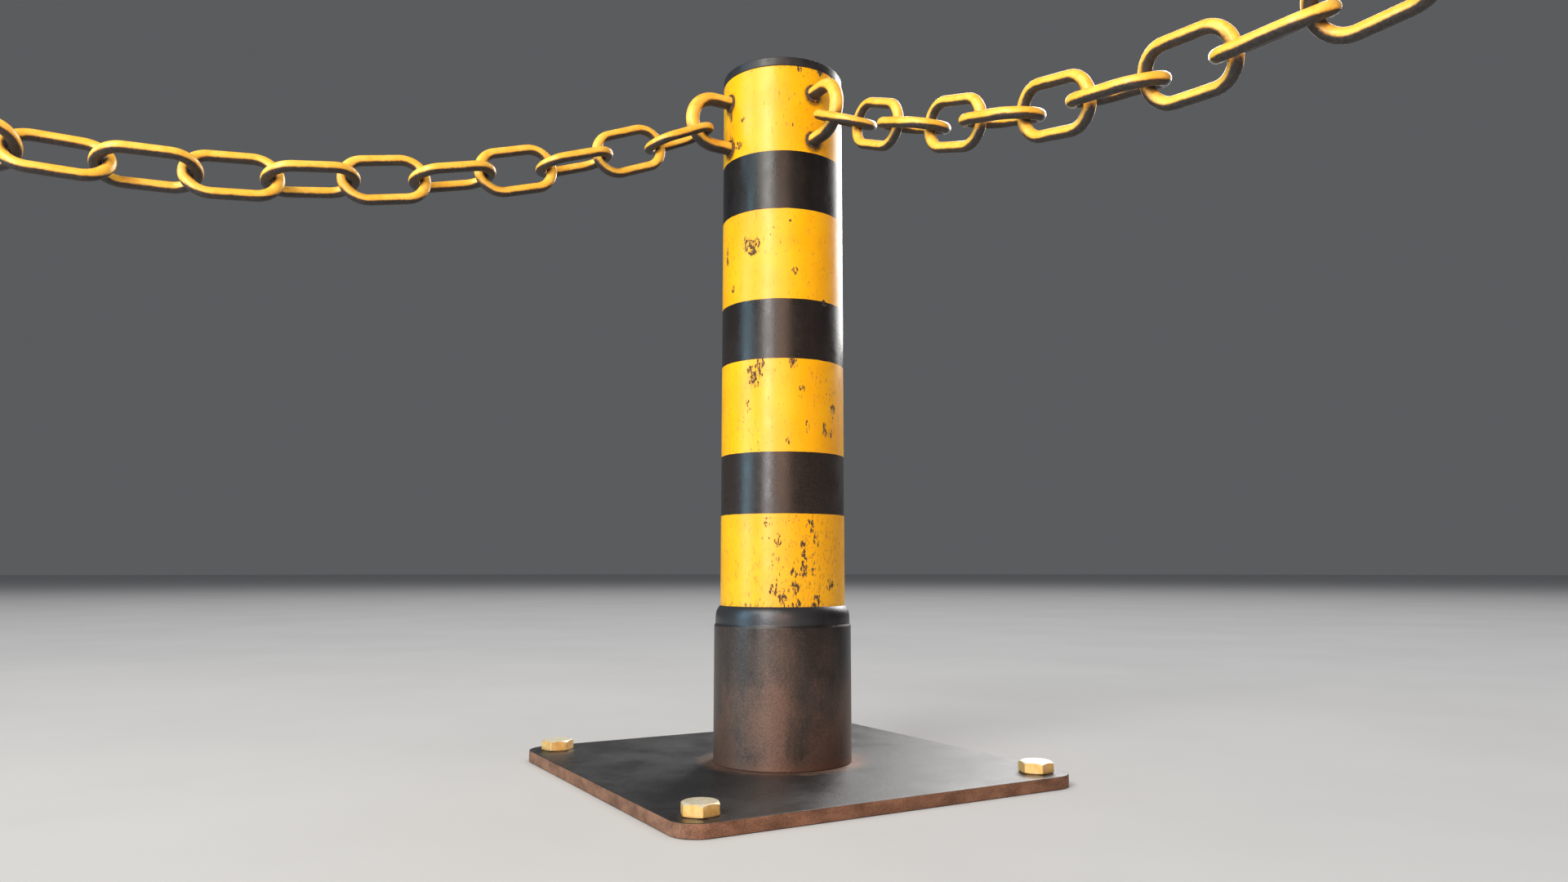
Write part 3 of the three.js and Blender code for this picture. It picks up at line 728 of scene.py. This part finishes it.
def build_sleeve(material):
    bore = POST_R + GAP
    outer = sleeve_hi.x
    base = sleeve_hi.z - SHOULDER
    profile = [(bore, sleeve_lo.z), (outer - 0.5 * MM, sleeve_lo.z), (outer, sleeve_lo.z + 0.5 * MM)]
    profile += [(outer, base - 0.8 * MM), (outer - 0.15 * MM, base - 0.2 * MM)]
    back = outer - SLEEVE_STEP
    foot = base + STEP_RISE
    profile += [(back + 0.15 * MM, foot - 0.5 * MM), (back, foot)]
    lip = back - bore - 0.4 * MM
    crest = sleeve_hi.z - 0.3 * MM
    steps = 24
    for k in range(1, steps + 1):
        t = math.sin(math.pi / 2 * k / steps)
        profile.append((back - lip * t ** BULGE, foot + (crest - foot) * t))
    profile += [(bore + 0.1 * MM, sleeve_hi.z), (bore, sleeve_hi.z - 0.2 * MM)]
    dress(turned("socket_sleeve_fine", profile), "socket_sleeve", ROOT, material)


def build_plate(material):
    half = plate_hi.x
    corners = [(-half, -half), (half, -half), (half, half), (-half, half)]
    edge = [(PLATE_EDGE * (1 - y), PLATE_EDGE * (1 - x)) for x, y in quarter(4)]
    levels = [(inset, plate_lo.z + rise) for inset, rise in edge]
    levels += [(inset, plate_hi.z - rise) for inset, rise in reversed(edge)]
    loops = []
    for inset, z in levels:
        square = [(x * (half - inset) / half, y * (half - inset) / half) for x, y in corners]
        outline = fillet(square, [PLATE_CORNER - inset] * 4, 16)
        loops.append([(p.x, p.y, z) for p in outline])
    plate = skin("base_plate_fine", loops)
    profile = [(BOLT_HOLE / 2, plate_lo.z - MM), (BOLT_HOLE / 2, plate_hi.z + MM)]
    holes = []
    for bolt in BOLTS:
        centre = node_centre(bolt)
        holes.append(turned("hole", profile, closed=False, segments=HOLE_SIDES, centre=centre))
    boolean(plate, "DIFFERENCE", *holes)
    dress(plate, "base_plate", ROOT, material)


def build_bolts(zinc):
    for bolt in BOLTS:
        low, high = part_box(bolt)
        centre = node_centre(bolt)
        centre.z = 0
        head_z, top = plate_hi.z + GAP, high.z
        ends = [v.co - centre for v in frame["nodes"][bolt].data.vertices]
        corner = max(ends, key=lambda p: p.xy.length)
        turn = math.atan2(corner.y, corner.x)
        reach = BOLT_FLATS / math.sqrt(3)
        turns = [turn + k * math.pi / 3 for k in range(6)]
        hexagon = [(reach * math.cos(a), reach * math.sin(a)) for a in turns]
        outline = fillet(hexagon, [BOLT_CORNER] * 6, 5)
        rings = [[(centre.x + p.x, centre.y + p.y, z) for p in outline] for z in (head_z, top)]
        head = skin(bolt + "_fine", rings)
        flat = BOLT_FLATS / 2
        wide = flat + CROWN_OUT
        crown = [(flat - 0.4 * MM, head_z), (wide, head_z + 0.9 * MM), (wide, top - CROWN_DROP)]
        steps = 8
        for k in range(steps + 1):
            t = k / steps
            crown.append((wide - (CROWN_OUT + CROWN_IN) * t, top - CROWN_DROP * (1 - t) ** 1.4))
        boolean(head, "INTERSECT", turned("crown", crown, closed=False, segments=CROWN_SIDES, centre=centre))
        profile = [(BOLT_D / 2 - MM, low.z), (BOLT_D / 2, low.z + MM), (BOLT_D / 2, head_z + 2 * MM)]
        shank = turned("shank", profile, closed=False, segments=HOLE_SIDES, centre=centre)
        boolean(head, "UNION", shank)
        dress(head, bolt, ROOT, zinc, soften=28)


# ---------- eyes, welds and chains ----------
def build_eyes(material, weld):
    for side, out in SIDES.items():
        node = f"{side}_eye"
        low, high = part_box(node)
        middle = UP * (low.z + high.z) / 2
        reach = max(abs(low.dot(out)), abs(high.dot(out))) - EYE_WIRE / 2
        centre = out * (reach - EYE_BEND) + middle
        lower, upper = middle - UP * EYE_BEND, middle + UP * EYE_BEND
        start, end = lower + out * EYE_ROOT, upper + out * EYE_ROOT
        leg_steps, bend_steps = 6, 36
        path = [(start, out)]
        path += run(start, centre - UP * EYE_BEND, leg_steps)
        path += arc(centre, out, UP, EYE_BEND, -math.pi / 2, math.pi / 2, bend_steps)
        path += run(centre + UP * EYE_BEND, end, leg_steps)
        path.append((end, -out))
        hang = centre + (out * math.cos(HANG_ANGLE) - UP * math.sin(HANG_ANGLE)) * EYE_BEND

        def rubbed(k, outward, path=path, hang=hang):
            return rub((path[k][0] - hang).length, EYE_RUB, outward)

        plane = out.cross(UP)
        eye = bar(node + "_fine", path, -plane, rubbed, EYE_WIRE / 2, EYE_SIDES, closed=False)
        dress(eye, node, ROOT, material)
        for name, foot in (("lower", lower), ("upper", upper)):
            build_weld(f"{side}_eye_weld_{name}", out, foot, weld)


def build_weld(node, out, foot, material):
    """A bead that follows the round of the tube, with small ripples and fuller in two places."""
    across = out.cross(UP)
    bore = EYE_WIRE / 2 + GAP / 2
    rings = []
    for i in range(WELD_SIDES):
        a = 2 * math.pi * i / WELD_SIDES
        ripple = 0.5 + 0.5 * math.sin(19 * a + 0.9 * math.sin(3 * a))
        lump = 0.5 + 0.5 * math.sin(2 * a + foot.z * 90)
        width = WELD_W * (0.74 + 0.05 * ripple + 0.16 * lump)
        height = WELD_H * (0.66 + 0.07 * ripple + 0.18 * lump)
        around = across * math.cos(a) + UP * math.sin(a)
        section = [(bore + width * x, height * y) for x, y in quarter(8)]
        section.append((bore, 0.0))
        ring = []
        for radius, level in section:
            tube = math.sqrt(POST_R ** 2 - (radius * math.cos(a)) ** 2)
            ring.append(out * (tube + WELD_OFF + level) + foot + around * radius)
        rings.append(ring)
    dress(skin(node + "_fine", rings, closed=True), node, ROOT, material)


def build_link(node, far, across, material):
    """A link from the middle of its far bar and that bar's direction; gives the link's own direction."""
    centre = node_centre(node)
    along = (far - centre).normalized()
    across = (across - along * across.dot(along)).normalized()
    straight = (far - centre).length - LINK_BEND
    bend_steps, side_steps = 26, 10
    path = []
    for sign in (1, -1):
        bend = centre + along * straight * sign
        path += arc(bend, along * sign, across * sign, LINK_BEND, -math.pi / 2, math.pi / 2, bend_steps)
        start = bend + across * LINK_BEND * sign
        path += run(start, start - along * 2 * straight * sign, side_steps)
    apexes = [centre + along * (straight + LINK_BEND) * sign for sign in (1, -1)]

    def rubbed(k, outward):
        return rub(min((path[k][0] - apex).length for apex in apexes), LINK_RUB, outward)

    link = bar(node + "_fine", path, across.cross(along).normalized(), rubbed)
    dress(link, node, node, material)
    return along


def build_hook(node, pivot, before, after, material):
    """The S-hook on the last link.

    pivot is the middle of that link's far bar; before and after are the last two links' directions.
    """
    points = np.array([v.co for v in frame["nodes"][node].data.vertices])
    flat = Vector(np.linalg.svd(points - points.mean(0))[2][2])
    along = (after * 2 - before).normalized()
    along = (along - flat * along.dot(flat)).normalized()
    near_bar = pivot - (after + along).normalized() * (WIRE + GAP)
    cross = math.acos((HOOK_NEAR + HOOK_FAR) / HOOK_SPAN)
    opposite = cross + math.pi
    first = cross + HOOK_NEAR_END - HOOK_TIP / HOOK_NEAR
    last = HOOK_FAR_END - HOOK_TIP / HOOK_FAR

    def route(across):
        near = near_bar + along * HOOK_NEAR
        far = near + along * HOOK_SPAN
        joins = far + (along * math.cos(opposite) + across * math.sin(opposite)) * HOOK_FAR
        path = arc(near, along, across, HOOK_NEAR, first, cross, 44)
        path += run(path[-1][0], joins, 6)
        path += arc(far, along, across, HOOK_FAR, opposite, last, 40)
        return path

    def off(across):
        """How far a hook drawn this way round is from the middle of its CAD node."""
        places = np.array([p for p, _ in route(across)])
        middle = Vector((places.min(0) + places.max(0)) / 2)
        return (middle - node_centre(node)).length

    path = route(min((along.cross(flat), flat.cross(along)), key=off))

    def rubbed(k, outward):
        return rub((path[k][0] - near_bar).length, HOOK_RUB, outward)

    hook = bar(node + "_fine", path, flat, rubbed, closed=False, ends=HOOK_TIP)
    dress(hook, node, node, material)


def build_chains(material):
    """Each joint's position is the middle of the bar that its link or hook hangs on."""
    for side in SIDES:
        joints = [j for j in frame["joints"] if j["child"].startswith(side)]
        joints.sort(key=lambda j: ("hook" in j["child"], j["child"]))
        directions = []
        for joint, following in zip(joints, joints[1:]):
            far, across = Vector(following["pos_m"]), Vector(following["axis"])
            directions.append(build_link(joint["child"], far, across, material))
        last = joints[-1]
        build_hook(last["child"], Vector(last["pos_m"]), *directions[-2:], material)


def build_floor():
    """A plain pale disc, wide enough that its edge is never near the object."""
    s = Shader("floor")
    tone = s.ramp(s.noise(0.5, 4), 0.3, 0.7)
    color = s.mix(tone, (0.70, 0.70, 0.71), (0.74, 0.74, 0.75))
    material = s.done(color, 0.75, 0.0, (s.noise(0.02, 3), 0.2 * MM))
    profile = [(FLOOR_R, -FLOOR_DEPTH), (FLOOR_R, FLOOR_TOP)]
    floor = turned("studio_floor", profile, closed=False, segments=FLOOR_SIDES)
    floor.data.materials.append(material)
    floor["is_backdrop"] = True
    return floor


make_camera()
studio_floor = build_floor()
chain_paint = chain_material()
build_tube(post_material())
build_cap(cap_material())
build_sleeve(sleeve_material())
build_plate(plate_material())
build_bolts(zinc_material())
build_eyes(chain_paint, weld_material())
build_chains(chain_paint)
make_lights(studio_floor)
